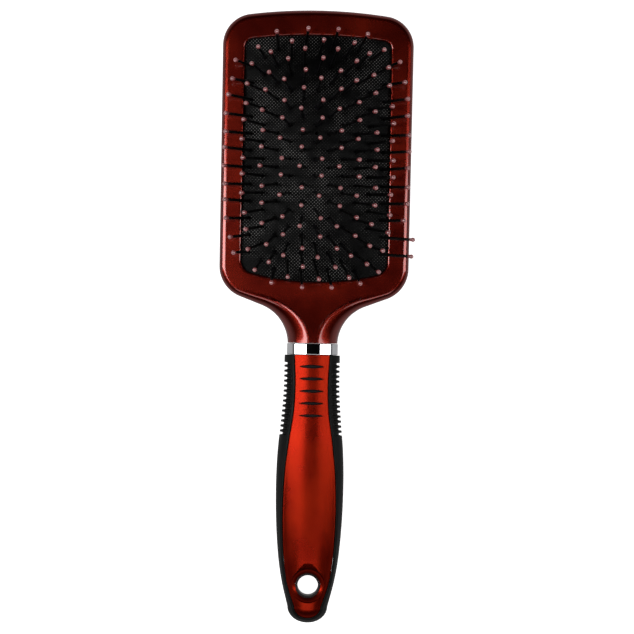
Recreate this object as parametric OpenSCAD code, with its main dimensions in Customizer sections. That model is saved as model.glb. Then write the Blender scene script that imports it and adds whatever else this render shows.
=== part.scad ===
// Paddle hair brush: a flat head with an air cushion that carries nylon pins with
// ball ends, a neck held by a metal ferrule, and a handle with a rubber grip.
// The brush lies on its back. +Y runs from the handle's end to the top of the
// head, +Z points the way the pins do, and all sizes are in millimetres.

/* [View] */
// Which piece to show

/* [Brush] */
// Length of the whole brush
brush_len = 245; // [180:1:280]
// Height of the axis of neck, ferrule and handle above the table
axis_z = 8.25; // [6:0.25:12]

/* [Head] */
// Width across the top of the head
head_w = 76.4; // [50:0.2:100]
// Width across the head just above the shoulders
head_low_w = 75.6; // [50:0.2:100]
// Thickness of the head from back to front
head_t = 14; // [10:0.5:20]
// Height of the joint between tray and front frame
split_z = 7; // [4:0.5:10]
// Radius of the gentle arc along the top edge
crown_r = 200; // [120:5:400]
// Radius of the two upper corners
corner_r = 12.5; // [5:0.5:25]
// Radius of the two shoulders above the neck
shoulder_r = 13; // [5:0.5:25]
// Radius of the hollow between neck and shoulder
neck_r = 16.5; // [8:0.5:30]
// Rounding of the edge around the front face
front_edge = 2.4; // [1:0.2:6]
// Rounding of the edge around the back face
back_edge = 5; // [1:0.2:6]

/* [Neck] */
// Width of the neck where it meets the ferrule
neck_w = 20; // [14:0.5:30]
// Thickness of the neck where it meets the ferrule
neck_t = 14; // [10:0.5:20]
// Distance of the neck's end below the middle of the brush
neck_drop = 10.5; // [5:0.5:20]
// Width of the tang that joins head and handle
tang_w = 12; // [8:0.5:16]
// Thickness of the tang
tang_t = 6.5; // [4:0.5:9]
// Length of the tang beyond the end of the neck
tang_len = 30; // [15:1:45]

/* [Cushion] */
// Half width of the window for the cushion
pad_hw = 29.2; // [20:0.1:40]
// Distance of the window's lower edge above the middle of the brush
pad_low = 14; // [8:0.5:30]
// Distance of the window's upper edge above the middle of the brush
pad_high = 112.3; // [80:0.1:115]
// Rise of the dome above the cushion's rim
dome_h = 9; // [4:0.5:14]
// Thickness of the rubber
rubber_t = 1.8; // [1:0.1:3]
// Height of the cushion's edge where it leaves the frame
rim_z = 12.2; // [10:0.1:14]
// Diameter of the breather hole in the middle of the cushion
breather_d = 1.2; // [0.8:0.1:3]

/* [Pins] */
// Distance between neighbouring columns of pins
col_pitch = 5.3; // [4:0.1:8]
// Distance between pins in one column
row_pitch = 6.75; // [5:0.05:10]
// Diameter of a pin
pin_d = 1.1; // [0.8:0.1:2]
// Length of a pin from the cushion to the end of its ball
pin_len = 17; // [10:0.5:25]
// Diameter of a ball end
ball_d = 2; // [1.4:0.1:3]
// Diameter of the flange that holds a pin under the cushion
flange_d = 2.8; // [2:0.1:4]
// How much more the pins fan out than the dome alone would make them
fan = 1.45; // [1:0.05:2]
// Slope of the set that the middle pins have towards +X
sway = 0.13; // [0:0.01:0.3]
// Extra slope of the two lowest pins on the right, which stand out past the head
splay = 0.7; // [0:0.05:1]

/* [Ferrule] */
// Length of the metal band
ferrule_len = 4.5; // [3:0.1:12]
// Wall of the metal band
ferrule_wall = 1.1; // [0.6:0.1:2]

/* [Handle] */
// Thickness of the rubber over the core
grip_t = 2.2; // [1:0.1:4]
// Roundness of the handle's section: 2 is an ellipse
section_n = 2.3; // [2:0.1:4]
// Number of ribs along each side
rib_count = 15; // [6:1:24]
// Distance between ribs
rib_pitch = 2; // [1.5:0.1:4]
// Depth of the grooves between ribs
rib_depth = 1.2; // [0.4:0.1:1.8]
// Number of thumb bars on the front
bar_count = 5; // [0:1:8]
// Distance between thumb bars
bar_pitch = 4.9; // [3:0.1:8]
// Length of a thumb bar
bar_len = 9.5; // [5:0.5:12]
// Width of a thumb bar
bar_w = 1.4; // [0.8:0.1:3]
// Diameter of the hole that the brush hangs by
hang_d = 8.2; // [5:0.1:12]
// Distance of the hanging hole from the handle's end
hang_in = 15.2; // [12:0.1:30]
// Outer diameter of the hanging hole's liner
liner_d = 10; // [8:0.1:14]

/* [Hidden] */
end_y = -brush_len / 2;
top_y = brush_len / 2;
gap = 0.15;
eps = 0.01;
big = 400;
neck_y = -neck_drop;
hole_y = end_y + hang_in;

// Head: corner points of the outline, before rounding
crown_slope = 0.13;
crown_lift = crown_r * (1 / cos(atan(crown_slope)) - 1);
crown_v = [0, top_y + crown_lift];
corner_v = [head_w / 2, crown_v.y - crown_slope * head_w / 2];
shoulder_slope = 0.378;
hollow_v = [neck_w / 2 + 0.7, 0.6];
shoulder_v = [head_low_w / 2, hollow_v.y + shoulder_slope * (head_low_w / 2 - hollow_v.x)];
// The flat faces narrow from the first height to the second, and leave a rounding this wide
neck_start = 12;
neck_end = -6;
neck_edge_w = 0.44 * neck_w;
neck_edge_h = neck_t / 2 - 0.4;

// Cushion window: corner points of the outline, before rounding
pad_top_v = [0, pad_high + crown_lift];
pad_corner_v = [pad_hw, pad_top_v.y - crown_slope * pad_hw];
pad_corner_r = 3.5;
bow_r = 103;
bow_slope = 0.237;
pad_bow_v = [0, pad_low - bow_r * (1 / cos(atan(bow_slope)) - 1)];
pad_foot_v = [pad_hw, pad_bow_v.y + bow_slope * pad_hw];
pad_foot_r = 5.5;
pad_clear = 0.2;
pad_mid = (pad_low + pad_high) / 2;
pad_half = (pad_high - pad_low) / 2;
floor_t = 2.5;
lip_z = 11.4;
bead_out = 2.8;
bead_in = 1.8;
bead_low = split_z + 1.9;

// Pins
field_y = 62.6;
row_power = 2.3;
dome_x = pad_hw + 0.2;
dome_y = pad_half + 0.5;
splay_from = 4.5 * col_pitch;
splay_below = 34;
pin_reach = pin_len - ball_d / 2;
flange_top = 2.3;
flange_low = 4.8;
flange_t = 0.7;
pin_gap = 0.15;
zone_edges = [1.01, 0.86, 0.7, 0.52, 0.34, 0.2, -0.01];
column_rows = [13, 14, 13, 14, 13, 12];

// Handle: [distance below the middle, half width, half thickness]
handle_at = [
    [15.3, 11.1, 8.0],
    [30, 11.25, 8.1],
    [42, 12.1, 8.15],
    [54, 13.15, 8.25],
    [67, 13.55, 8.25],
    [82, 13.2, 8.05],
    [96, 12.1, 7.6],
    [106, 10.5, 6.95],
    [116, 8.0, 6.2]
];
// Red window in the rubber: [distance below the middle, half width]
window_at = [
    [15.3, 7.1],
    [27, 6.6],
    [38, 7.05],
    [50, 8.75],
    [63, 10.15],
    [78, 10.65],
    [94, 10.05],
    [106, 8.5],
    [116, 5.3]
];
tail_y = 116;
window_end = 120.3;
handle_top = neck_y - ferrule_len - 0.3;
rib_top = 18.3;
rib_fade = 8.2;
rib_fade_w = 1.2;
rib_fade_t = 0.6;
valley_share = 0.42;
crest_share = 0.96;
bar_first = 19.8;
sink = 0.25;
dish_deep = 2.1;
oval_n = 2.6;

function unit(v) = v / norm(v);
function lerp(a, b, t) = a + (b - a) * t;
function smooth(t) = let (c = min(1, max(0, t))) c * c * (3 - 2 * c);

// Rounded corner at v between a and b as [x, y, normal x, normal y], from part f0 to f1 of its turn
function corner(a, v, b, r, n, f0 = 0, f1 = 1) =
    let (
        e1 = unit(v - a),
        e2 = unit(b - v),
        n1 = [e1.y, -e1.x],
        n2 = [e2.y, -e2.x],
        turn = atan2(e1.x * e2.y - e1.y * e2.x, e1 * e2),
        side = sign(turn),
        c = v - side * r * (n1 + n2) / (1 + n1 * n2),
        start = atan2(n1.y, n1.x)
    )
    [for (i = [0:n])
        let (q = start + turn * lerp(f0, f1, i / n))
        [c.x + side * r * cos(q), c.y + side * r * sin(q), cos(q), sin(q)]];

function flip(v) = [-v.x, v.y];
function mirrored(half) = [for (i = [len(half) - 1:-1:0])
    if (half[i].x > eps)
    [-half[i].x, half[i].y, -half[i][2], half[i][3]]];
function grown(path, d) = [for (p = path) [p.x + p[2] * d, p.y + p[3] * d]];

// Straight stretch between two outline points, without its ends
function stretch(p, q, n) = [for (i = [1:n - 1]) lerp(p, q, i / n)];

function head_half() = concat(
    [[neck_w / 2, neck_y, 1, 0]],
    corner([neck_w / 2, neck_y], hollow_v, shoulder_v, neck_r, 7),
    corner(hollow_v, shoulder_v, corner_v, shoulder_r, 8),
    corner(shoulder_v, corner_v, crown_v, corner_r, 10),
    corner(corner_v, crown_v, flip(corner_v), crown_r, 5, 0, 0.5)
);

function pad_half_path(side = 12) =
    let (
        foot = corner(pad_bow_v, pad_foot_v, pad_corner_v, pad_foot_r, 6),
        top = corner(pad_foot_v, pad_corner_v, pad_top_v, pad_corner_r, 6)
    )
    concat(
        corner(flip(pad_foot_v), pad_bow_v, pad_foot_v, bow_r, 4, 0.5, 1),
        foot,
        stretch(foot[6], top[0], side),
        top,
        corner(pad_corner_v, pad_top_v, flip(pad_corner_v), crown_r, 4, 0, 0.5)
    );

function closed(half) = concat(half, mirrored(half));

// Height of the cushion's dome as a share of its height in the middle
function share(x, y) =
    max(0, 1 - pow(abs(x) / dome_x, 2)) * max(0, 1 - pow(abs(y - pad_mid) / dome_y, row_power));

// Every pin as [x, y]
function pin_spots() = [for (k = [-5:5])
    let (rows = column_rows[abs(k)])
    for (j = [0:rows - 1])
    [k * col_pitch, field_y + (j - (rows - 1) / 2) * row_pitch]];

function zone_of(p) =
    let (s = share(p.x, p.y))
    [for (k = [1:6]) if (s < zone_edges[k - 1] && s >= zone_edges[k]) k][0];

// Small set of each single pin, so that no two stand quite alike
function stray(p, turn) = 0.035 * sin(turn + 137 * p.x + 71 * p.y);

function splayed(p) = p.x > splay_from && p.y < splay_below;

// Distance of the flange below the pin's foot: a splayed pin needs more to clear the rubber
function flange_at(p) = splayed(p) ? flange_low : flange_top;

// Direction of the pin at [x, y], pointing up out of the cushion
function pin_lean(p) =
    let (
        u = p.x / dome_x,
        v = (p.y - pad_mid) / dome_y,
        fall_x = 2 * u / dome_x * (1 - pow(abs(v), row_power)),
        fall_y = sign(v) * row_power * pow(abs(v), row_power - 1) / dome_y * (1 - u * u)
    )
    unit([
        dome_h * fan * fall_x + sway * (1 - u * u) + (splayed(p) ? splay : 0) + stray(p, 20),
        dome_h * fan * fall_y + stray(p, 140),
        1
    ]);

// Value of column c of a station table at distance d, as a smooth curve
function along(at, d, c) =
    let (
        last = len(at) - 1,
        i = min(last - 1, max(0, len([for (s = at) if (s[0] <= d) 1]) - 1)),
        p = at[i],
        q = at[i + 1],
        h = q[0] - p[0],
        mp = (q[c] - at[max(0, i - 1)][c]) / (q[0] - at[max(0, i - 1)][0]),
        mq = (at[min(last, i + 2)][c] - p[c]) / (at[min(last, i + 2)][0] - p[0]),
        t = (d - p[0]) / h
    )
    (2 * pow(t, 3) - 3 * t * t + 1) * p[c] + (pow(t, 3) - 2 * t * t + t) * h * mp
    + (3 * t * t - 2 * pow(t, 3)) * q[c] + (pow(t, 3) - t * t) * h * mq;

// Half width of a rounded end of length l whose widest half width is w
function cap(w, l, t) = w * sqrt(max(0, 1 - pow(t / l, 2)));

function half_w(d, inset) =
    d <= tail_y ? along(handle_at, d, 1) - inset
    : cap(handle_at[8][1] - inset, -end_y - tail_y - inset, d - tail_y);
function half_t(d, inset) =
    d <= tail_y ? along(handle_at, d, 2) - inset
    : cap(handle_at[8][2] - inset, -end_y - tail_y - inset, d - tail_y);
function window_w(d) =
    d <= tail_y ? along(window_at, d, 1)
    : cap(window_at[8][1], window_end - tail_y, d - tail_y);

function power(v, n) = sign(v) * pow(abs(v), 2 / n);

// Depth of the ribs' grooves at distance d: 0 on a rib, 1 in a groove
function groove(d) =
    let (t = (d - rib_top) / rib_pitch, f = t - floor(t))
    t <= 0 || t >= rib_count ? 0 : (f < valley_share || f > crest_share ? 1 : 0);

// One section of the handle at distance d, moved inwards by inset
function section(d, inset, ribs, n) =
    let (a = half_w(d, inset), b = half_t(d, inset))
    [for (i = [0:n - 1])
        let (
            q = 360 * (i + 0.5) / n,
            x = a * power(cos(q), section_n),
            cut = ribs ? rib_depth * groove(d) * smooth((abs(x) - rib_fade) / rib_fade_w) : 0
        )
        [(a - cut) * power(cos(q), section_n), -d, axis_z + (b - cut * rib_fade_t) * power(sin(q), section_n)]];

// Places along one rib, as shares of the ribs' distance: groove from, groove to, rib from, rib to
rib_places = [0, valley_share - 0.02, valley_share + 0.1, 0.9];
body_from = 50;

// Places along the handle where its sections stand
function rib_stations() = [for (i = [0:rib_count - 1]) for (f = rib_places)
    rib_top + (i + f) * rib_pitch + eps / 10];
function neck_stations() = [for (i = [1:4]) lerp(-handle_top, body_from, i / 5)];
function stations(inset, ribs) = concat(
    [-handle_top],
    ribs ? rib_stations() : neck_stations(),
    [for (i = [0:8]) lerp(body_from, tail_y, i / 8)],
    [for (i = [1:7]) tail_y + (-end_y - tail_y - inset) * sin(88.2 * i / 7)]
);

module loft(rings) {
    n = len(rings[0]);
    m = len(rings);
    sides = [for (k = [0:m - 2]) for (i = [0:n - 1]) let (j = (i + 1) % n)
        each [[k * n + i, (k + 1) * n + j, k * n + j], [k * n + i, (k + 1) * n + i, (k + 1) * n + j]]];
    ends = [[for (i = [0:n - 1]) i], [for (i = [n - 1:-1:0]) (m - 1) * n + i]];
    polyhedron(points = [for (r = rings) each r], faces = concat(ends, sides), convexity = 8);
}

// The handle's body, moved inwards by inset
module handle_body(inset, ribs = false, n = 32) {
    loft([for (d = stations(inset, ribs)) section(d, inset, ribs, n)]);
}

// The window's outline through the whole handle, wider by grow
module window_prism(grow) {
    d_list = concat(
        [for (i = [0:16]) lerp(-handle_top, tail_y, i / 16)],
        [for (i = [1:6]) tail_y + (window_end - tail_y) * sin(i * 15)]
    );
    right = [for (d = d_list) if (d < window_end - eps) [window_w(d), -d]];
    left = [for (i = [len(right) - 1:-1:0]) flip(right[i])];
    translate([0, 0, -5])
        linear_extrude(height = 30)
            offset(delta = grow)
                polygon(concat(right, [[0, -window_end]], left));
}

// Head as one solid: levels from the back face to the front face
module head_body() {
    half = head_half();
    path = closed(half);
    m = len(half) - 1;
    n = len(path);
    turns = [0:15:90];
    function narrow(y) = smooth((neck_start - y) / (neck_start - neck_end));
    function back(y) = lerp(0, axis_z - neck_t / 2, narrow(y));
    function front(y) = lerp(head_t, axis_z + neck_t / 2, narrow(y));
    function round_w(y, r) = lerp(r, neck_edge_w, narrow(y));
    function round_h(y, r) = lerp(r, neck_edge_h, narrow(y));
    function level(q, r, up) = [for (p = path)
        let (
            d = round_w(p.y, r) * (1 - sin(q)),
            h = round_h(p.y, r) * (1 - cos(q))
        )
        [p.x - p[2] * d, p.y - p[3] * d, up ? front(p.y) - h : back(p.y) + h]];
    rings = concat(
        [for (q = turns) level(q, back_edge, false)],
        [for (i = [6:-1:0]) level(15 * i, front_edge, true)]
    );
    k = len(rings);
    sides = [for (l = [0:k - 2]) for (i = [0:n - 1]) let (j = (i + 1) % n)
        each [[l * n + i, (l + 1) * n + j, l * n + j], [l * n + i, (l + 1) * n + i, (l + 1) * n + j]]];
    lid = (k - 1) * n;
    bottom = [for (i = [0:m - 1]) [i, i + 1, 2 * m - i - 1, 2 * m - i]];
    top = [for (f = bottom) [for (i = [3:-1:0]) lid + f[i]]];
    clean_bottom = [for (f = bottom) f[1] == f[2] ? [f[0], f[1], f[3]] : f];
    clean_top = [for (f = top) f[1] == f[2] ? [f[0], f[1], f[3]] : f];
    polyhedron(
        points = [for (r = rings) each r],
        faces = concat(clean_bottom, clean_top, sides),
        convexity = 6
    );
}

module pad_prism(grow, z0, z1) {
    translate([0, 0, z0])
        linear_extrude(height = z1 - z0)
            polygon(grown(closed(pad_half_path()), grow));
}

// Tang that runs from the head through the ferrule into the handle
module tang(grow) {
    deep = neck_drop + 6;
    round_r = 1.5;
    translate([0, neck_y - tang_len - grow, axis_z])
        rotate([-90, 0, 0])
            linear_extrude(height = tang_len + deep + 2 * grow)
                offset(r = round_r, $fn = 24)
                    square([tang_w + 2 * (grow - round_r), tang_t + 2 * (grow - round_r)], center = true);
}

module head_tray() {
    color([0.33, 0.03, 0.02])
        difference() {
            union() {
                difference() {
                    head_body();
                    translate([-big / 2, -big / 2, split_z - gap / 2])
                        cube([big, big, big]);
                }
                pad_prism(bead_out + 0.1, split_z - 1, bead_low - gap);
                tang(0);
            }
            pad_prism(-bead_in, floor_t, big);
        }
}

module head_frame() {
    color([0.33, 0.03, 0.02])
        difference() {
            head_body();
            translate([-big / 2, -big / 2, split_z + gap / 2 - big])
                cube([big, big, big]);
            pad_prism(0, 0, big);
            pad_prism(bead_out + 0.3, 0, lip_z);
            tang(gap);
        }
}

// Upper surface of the cushion as a sheet of given thickness
module dome() {
    half = pad_half_path(14);
    m = len(half);
    across = 16;
    function top_z(x, y) = rim_z + dome_h * share(x, y);
    rows = [for (i = [1:m - 2]) half[i]];
    inner = grown(rows, -pad_clear);
    n = across + 1;
    grid = [for (p = inner) for (j = [0:across]) [p.x * (2 * j / across - 1), p.y]];
    count = len(grid);
    low_tip = [0, half[0].y + pad_clear];
    high_tip = [0, half[m - 1].y - pad_clear];
    flat = concat(grid, [low_tip, high_tip]);
    skin = [for (p = flat) [p.x, p.y, top_z(p.x, p.y)]];
    under = [for (p = skin) p - [0, 0, rubber_t]];
    s = len(flat);
    r = len(inner);
    low = count;
    high = count + 1;
    tops = concat(
        [for (i = [0:r - 2]) for (j = [0:across - 1]) let (a = i * n + j)
            each [[a, a + n + 1, a + 1], [a, a + n, a + n + 1]]],
        [for (j = [0:across - 1]) [low, j, j + 1]],
        [for (j = [0:across - 1]) [high, (r - 1) * n + j + 1, (r - 1) * n + j]]
    );
    rim = concat(
        [low],
        [for (i = [0:r - 1]) i * n + across],
        [high],
        [for (i = [r - 1:-1:0]) i * n]
    );
    e = len(rim);
    walls = [for (i = [0:e - 1]) let (a = rim[i], b = rim[(i + 1) % e])
        each [[a, b, b + s], [a, b + s, a + s]]];
    polyhedron(
        points = concat(skin, under),
        faces = concat(
            tops,
            [for (f = tops) [f[2] + s, f[1] + s, f[0] + s]],
            [for (f = walls) [f[2], f[1], f[0]]]
        ),
        convexity = 6
    );
}

// Put children at a pin's foot on the cushion, with +Z along the pin
module at_pin(p) {
    d = pin_lean(p);
    translate([p.x, p.y, rim_z + dome_h * share(p.x, p.y)])
        rotate([0, acos(d.z), atan2(d.y, d.x)])
            children();
}

module cushion() {
    color([0.05, 0.05, 0.05])
        difference() {
            union() {
                dome();
                difference() {
                    pad_prism(bead_out, bead_low, lip_z - gap);
                    pad_prism(-bead_in, 0, big);
                }
            }
            for (p = pin_spots())
                at_pin(p)
                    translate([0, 0, -5])
                        cylinder(r = pin_d / 2 + pin_gap, h = 8, $fn = 24);
            translate([0, field_y + 1.5 * row_pitch, 0])
                cylinder(d = breather_d, h = 40, $fn = 24);
        }
}

module pin_zone(k) {
    color([0.04, 0.04, 0.04])
        for (p = pin_spots())
            if (zone_of(p) == k)
                at_pin(p)
                    rotate_extrude($fn = 24)
                        polygon([
                            [0, -flange_at(p) - flange_t],
                            [flange_d / 2, -flange_at(p) - flange_t],
                            [flange_d / 2, -flange_at(p)],
                            [pin_d / 2, -flange_at(p)],
                            [pin_d / 2, pin_reach],
                            [0, pin_reach]
                        ]);
}

module tip_zone(k) {
    color([0.78, 0.42, 0.42])
        for (p = pin_spots())
            if (zone_of(p) == k)
                at_pin(p)
                    translate([0, 0, pin_reach])
                        difference() {
                            sphere(d = ball_d, $fn = 24);
                            translate([0, 0, -ball_d])
                                cylinder(r = pin_d / 2 + 0.04, h = ball_d + 0.15, $fn = 24);
                        }
}

// Section of the ferrule, moved inwards by inset
module oval(inset) {
    n = 72;
    polygon([for (i = [0:n - 1]) let (q = 360 * i / n)
        [
            (neck_w / 2 + 0.2 - inset) * power(cos(q), oval_n),
            (neck_t / 2 + 0.3 - inset) * power(sin(q), oval_n)
        ]]);
}

module ferrule() {
    color([0.8, 0.8, 0.82])
        translate([0, neck_y - gap, axis_z])
            rotate([90, 0, 0])
                linear_extrude(height = ferrule_len)
                    difference() {
                        oval(0);
                        oval(ferrule_wall);
                    }
}

// Lens-shaped outline of a thumb bar
module lens(l, w) {
    r = (l * l + w * w) / (4 * w);
    intersection() {
        translate([0, r - w / 2])
            circle(r = r, $fn = 120);
        translate([0, w / 2 - r])
            circle(r = r, $fn = 120);
    }
}

module bar_prisms(grow, z0) {
    for (i = [0:bar_count - 1])
        translate([0, -bar_first - i * bar_pitch, z0])
            linear_extrude(height = 8)
                lens(bar_len + 4 * grow, bar_w + 2 * grow);
}

// Recess around the hanging hole, the same on front and back
module dishes() {
    face = half_t(-hole_y, sink);
    low = face - dish_deep;
    for (s = [0, 1])
        translate([0, hole_y, axis_z])
            mirror([0, 0, s])
                translate([0, 0, low])
                    cylinder(r1 = liner_d / 2, r2 = liner_d / 2 + dish_deep + 3, h = dish_deep + 3, $fn = 72);
}

module handle_core() {
    color([0.62, 0.1, 0.05])
        difference() {
            union() {
                handle_body(grip_t);
                intersection() {
                    handle_body(sink);
                    window_prism(-gap / 2);
                }
                translate([0, neck_y - gap, axis_z])
                    rotate([90, 0, 0])
                        linear_extrude(height = neck_y - gap - handle_top + 0.02)
                            oval(ferrule_wall + gap);
            }
            tang(gap);
            bar_prisms(0.12, axis_z + 5.6);
            dishes();
            translate([0, hole_y, -10])
                cylinder(r = liner_d / 2 + 0.05, h = 40, $fn = 72);
        }
}

module rubber_grip() {
    color([0.07, 0.065, 0.065])
        difference() {
            handle_body(0, true);
            handle_body(grip_t - 0.1);
            window_prism(gap / 2);
        }
}

module grip_bars() {
    color([0.09, 0.09, 0.1])
        intersection() {
            handle_body(sink + 0.15);
            bar_prisms(0, axis_z + 5.75);
        }
}

module hang_liner() {
    color([0.1, 0.09, 0.09])
        translate([0, hole_y, axis_z - half_t(-hole_y, sink) + dish_deep])
            difference() {
                cylinder(d = liner_d, h = 2 * (half_t(-hole_y, sink) - dish_deep), $fn = 72);
                translate([0, 0, -1])
                    cylinder(d = hang_d, h = 40, $fn = 72);
            }
}

head_tray();
head_frame();
cushion();
pin_zone(1);  // pins_1
pin_zone(2);  // pins_2
pin_zone(3);  // pins_3
pin_zone(4);  // pins_4
pin_zone(5);  // pins_5
pin_zone(6);  // pins_6
tip_zone(1);  // tips_1
tip_zone(2);  // tips_2
tip_zone(3);  // tips_3
tip_zone(4);  // tips_4
tip_zone(5);  // tips_5
tip_zone(6);  // tips_6
ferrule();
handle_core();
rubber_grip();
grip_bars();
hang_liner();
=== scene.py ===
"""Looks of a paddle hair brush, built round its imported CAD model."""

import math

import bmesh
import bpy
import numpy as np
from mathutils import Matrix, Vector


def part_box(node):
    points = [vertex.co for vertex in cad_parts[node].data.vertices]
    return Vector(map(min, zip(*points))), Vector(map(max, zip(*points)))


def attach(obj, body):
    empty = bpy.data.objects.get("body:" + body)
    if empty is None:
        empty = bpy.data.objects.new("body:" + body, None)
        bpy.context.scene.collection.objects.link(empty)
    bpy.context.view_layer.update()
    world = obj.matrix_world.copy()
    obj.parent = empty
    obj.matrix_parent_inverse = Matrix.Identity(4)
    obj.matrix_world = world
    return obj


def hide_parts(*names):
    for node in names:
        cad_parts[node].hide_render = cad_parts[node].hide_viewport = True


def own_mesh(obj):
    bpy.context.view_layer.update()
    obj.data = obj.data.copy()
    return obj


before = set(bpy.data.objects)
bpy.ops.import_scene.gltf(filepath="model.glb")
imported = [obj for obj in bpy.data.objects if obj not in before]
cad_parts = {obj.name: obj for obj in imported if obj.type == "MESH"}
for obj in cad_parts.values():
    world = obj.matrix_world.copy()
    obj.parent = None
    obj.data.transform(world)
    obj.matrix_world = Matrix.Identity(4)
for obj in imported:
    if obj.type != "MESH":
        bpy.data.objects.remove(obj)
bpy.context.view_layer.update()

# ---------------------------------------------------------------- sizes, in millimetres

# They are the CAD model's sizes, apart from PIN_R, BALL_R, NARROW_FROM, NARROW_TO and
# LENS_FULL, which follow the photograph a little closer inside the CAD model's box.

MM = 0.001


def node_box(name):
    """Lowest and highest corner of a CAD node, in millimetres."""
    lo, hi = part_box(name)
    return np.array(lo) / MM, np.array(hi) / MM


FRAME_LO, FRAME_HI = node_box("head_frame")
LINER_LO, LINER_HI = node_box("hang_liner")
BAND_LO, BAND_HI = node_box("ferrule")
GRIP_HI = node_box("rubber_grip")[1]

TOP_Y = float(FRAME_HI[1])
END_Y = -TOP_Y
# height of the handle's axis
AXIS_Z = float(LINER_LO[2] + LINER_HI[2]) / 2

# head: width at the top and at the shoulders, thickness, height of the seam
HEAD_W = 76.4
HEAD_LOW_W = 75.6
HEAD_T = 14.0
SPLIT_Z = 7.0
# bowed top edge, top corners, shoulders, and the hollows from the shoulders to the neck
CROWN_R = 200.0
CROWN_SLOPE = 0.13
CORNER_R = 12.5
SHOULDER_R = 13.0
SHOULDER_SLOPE = 0.378
NECK_R = 16.5
NECK_W = 20.0
NECK_T = 14.0
NECK_Y = float(FRAME_LO[1])
HOLLOW_X = NECK_W / 2 + 0.7
HOLLOW_Y = 0.6
# rounding of the edges, which grows from the head's to the neck's over the narrowing
FRONT_EDGE = 2.4
BACK_EDGE = 5.0
NECK_EDGE = 8.8
NECK_SIDE = 0.4
NARROW_FROM = 9.0
NARROW_TO = -10.0
EDGE_ANGLES = np.linspace(90, 0, 19)
FACE_RINGS = 14
# half of the seam between front and back, and the bevel along it
SEAM = 0.075
SEAM_BEVEL = 0.12

# window for the cushion: half width, ends, corners, bowed lower edge
PAD_HW = 29.2
PAD_LOW = 14.0
PAD_HIGH = 112.3
PAD_TOP_R = 3.5
PAD_FOOT_R = 5.5
BOW_R = 103.0
BOW_SLOPE = 0.237
PAD_MID = (PAD_LOW + PAD_HIGH) / 2
PAD_HALF = (PAD_HIGH - PAD_LOW) / 2
# the frame's lip over the cushion's rim
LIP_R = 0.7
LIP_Z = 11.4
LIP_BEVEL = 0.2
# clamped rim of the cushion, the room around it, and the tray's floor
BEAD_OUT = 2.8
BEAD_IN = 1.8
BEAD_LOW = 8.9
BEAD_R = 0.4
BEAD_GAP = 0.15
FRAME_GAP = 0.3
LEDGE_GAP = 0.1
FLOOR_Z = 2.5

# dome: height of its edge, rise, thickness, half lengths and fullness
RIM_Z = 12.2
DOME_H = 9.0
RUBBER_T = 1.8
DOME_X = PAD_HW + 0.2
DOME_Y = PAD_HALF + 0.5
DOME_GAP = 0.2
DOME_COLUMNS = 96
ROW_POWER = 2.3
# holes: points nearer than this to a hole's edge go, the next ones move onto the edge
BREATHER_R = 0.6
PIN_HOLE_R = 0.8
HOLE_CLEAR = 0.12
HOLE_REACH = 1.4
DIMPLE = 0.22
DIMPLE_W = 0.45

# pins: places, lean (fanned out by the dome, a little to the right, a little astray)
COL_PITCH = 5.3
ROW_PITCH = 6.75
FIELD_Y = 62.6
COLUMN_ROWS = (13, 14, 13, 14, 13, 12)
FAN = 1.45
SWAY = 0.13
STRAY = 0.035
# the two pins that stand out past the head
SPLAY = 0.7
SPLAY_X = 25.0
SPLAY_Y = 34.0
PIN_R = 0.6
PIN_REACH = 16.0
BALL_R = 0.88
FLANGE_R = 1.4
FLANGE_TOP = 2.3
FLANGE_LOW = 4.8
FLANGE_T = 0.7
FLANGE_BEVEL = 0.15
# zones by the share of the dome's height that a pin stands on
ZONE_EDGES = (1.01, 0.86, 0.7, 0.52, 0.34, 0.2, -0.01)

# ferrule
OVAL_N = 2.6
OVAL_POINTS = 144
BAND_WALL = 1.1
BAND_EDGE = 0.22

# handle: distance below the middle, half width, half thickness
HANDLE_AT = np.array([
    (15.3, 11.1, 8.0),
    (30, 11.25, 8.1),
    (42, 12.1, 8.15),
    (54, 13.15, 8.25),
    (67, 13.55, 8.25),
    (82, 13.2, 8.05),
    (96, 12.1, 7.6),
    (106, 10.5, 6.95),
    (116, 8.0, 6.2),
])
# red window in the rubber: distance below the middle, half width
WINDOW_AT = np.array([
    (15.3, 7.1),
    (27, 6.6),
    (38, 7.05),
    (50, 8.75),
    (63, 10.15),
    (78, 10.65),
    (94, 10.05),
    (106, 8.5),
    (116, 5.3),
])
HANDLE_TOP = -float(GRIP_HI[1])
TAIL = 116.0
WINDOW_END = 120.3
WINDOW_GAP = 0.08
WINDOW_EDGE = 0.35
SECTION_N = 2.3
# how far the red core lies below the rubber's skin
SINK = 0.25
# rubber: thickness, where it starts to turn round the handle's end, bead along its edge
GRIP_T = 2.2
TURN_FROM = 104
EDGE_BEAD = 0.16
EDGE_BEAD_AT = 0.75
EDGE_BEAD_W = 0.42
# ribs, and the plain border between them and the rubber's edge
RIB_TOP = 18.3
RIB_COUNT = 15
RIB_PITCH = 2.0
RIB_DEPTH = 1.2
RIB_BORDER = 1.35
RIB_FADE = 0.8
# thumb bars: each is a little narrower than the one above it
BAR_FIRST = 19.8
BAR_PITCH = 4.9
BAR_COUNT = 5
BAR_LEN = 9.5
BAR_W = 1.4
BAR_SHRINK = 0.05
BAR_DEEP = 0.42
BAR_CROWN = 0.3
LENS_FULL = 0.72
POCKET_GAP = 0.12
# hanging hole and its liner
HOLE_Y = float(LINER_LO[1] + LINER_HI[1]) / 2
HANG_R = 4.1
LINER_R = float(LINER_HI[0] - LINER_LO[0]) / 2
LINER_EDGE = 0.35
LINER_GAP = 0.05
LINER_POINTS = 72

# weave on the cushion, and the floor's size and its room under the brush
WEAVE_PITCH = 1.35
FLOOR_HALF = 3000.0
FLOOR_DROP = 0.3

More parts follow.
